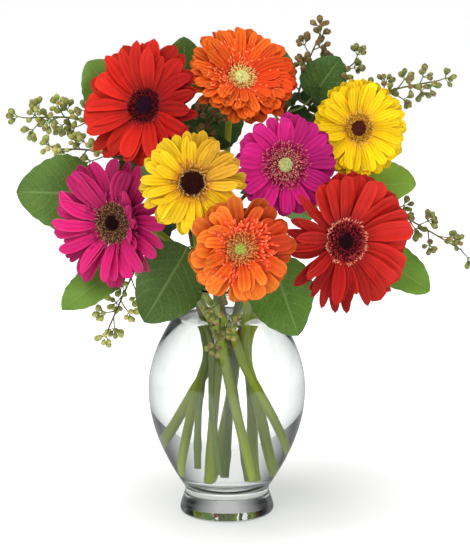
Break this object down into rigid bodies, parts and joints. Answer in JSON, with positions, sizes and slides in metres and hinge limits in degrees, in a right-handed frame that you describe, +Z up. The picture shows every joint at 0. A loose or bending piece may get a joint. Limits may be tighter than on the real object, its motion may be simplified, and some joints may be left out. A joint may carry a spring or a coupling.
{
  "type": "mixed flowers in a glass vase",
  "caption": "Mixed gerbera daisies with broad green leaves and seeded eucalyptus, standing in water in a footed clear glass vase.",
  "frame": {"origin": "centre of the vase's flat underside, on the surface it stands on", "axes": "+Z up the vase's axis, -Y towards the side that most flowers face, +X to the right seen from the front"},
  "size_m": [0.3806, 0.2206, 0.4176],
  "materials": {
    "clear_glass": "polished, clear",
    "water": "clear water",
    "stem_green": "fresh green, faintly ribbed and hairy",
    "bark": "brown-green woody",
    "leaf_green": "leathery, satin",
    "seed_green": "matte, dusty",
    "petal_red": "velvety",
    "petal_orange": "velvety",
    "petal_yellow": "velvety",
    "petal_magenta": "velvety",
    "eye_dark": "matte, tufted",
    "eye_green": "matte, tufted"
  },
  "bodies": {
    "root": {"red_left_petals": "petal_red", "red_left_disc": "eye_dark", "red_left_calyx": "stem_green", "red_left_stem": "stem_green", "orange_top_petals": "petal_orange", "orange_top_disc": "eye_green", "orange_top_calyx": "stem_green", "orange_top_stem": "stem_green", "yellow_right_petals": "petal_yellow", "yellow_right_disc": "eye_dark", "yellow_right_calyx": "stem_green", "yellow_right_stem": "stem_green", "yellow_left_petals": "petal_yellow", "yellow_left_disc": "eye_dark", "yellow_left_calyx": "stem_green", "yellow_left_stem": "stem_green", "magenta_right_petals": "petal_magenta", "magenta_right_disc": "eye_green", "magenta_right_calyx": "stem_green", "magenta_right_stem": "stem_green", "magenta_left_petals": "petal_magenta", "magenta_left_disc": "eye_dark", "magenta_left_calyx": "stem_green", "magenta_left_stem": "stem_green", "orange_front_petals": "petal_orange", "orange_front_disc": "eye_green", "orange_front_calyx": "stem_green", "orange_front_stem": "stem_green", "red_right_petals": "petal_red", "red_right_disc": "eye_dark", "red_right_calyx": "stem_green", "red_right_stem": "stem_green", "branch_left": "bark", "branch_right": "bark", "branch_back_left": "bark", "branch_back_right": "bark", "leaf_left_high": "leaf_green", "leaf_top_left": "leaf_green", "leaf_top_right": "leaf_green", "leaf_upper_right": "leaf_green", "leaf_right": "leaf_green", "leaf_right_low": "leaf_green", "leaf_front_right": "leaf_green", "leaf_front_left": "leaf_green", "leaf_left_low": "leaf_green", "leaf_left": "leaf_green", "leaf_centre": "leaf_green", "leaf_back_left": "leaf_green", "leaf_back_right": "leaf_green", "sprig_left_high": "seed_green", "sprig_left": "seed_green", "sprig_top_right": "seed_green", "sprig_right_top": "seed_green", "sprig_upper_right": "seed_green", "sprig_right": "seed_green", "sprig_left_low": "seed_green", "sprig_centre": "seed_green", "sprig_front": "seed_green", "vase": "clear_glass", "water": "water"}
  },
  "joints": []
}
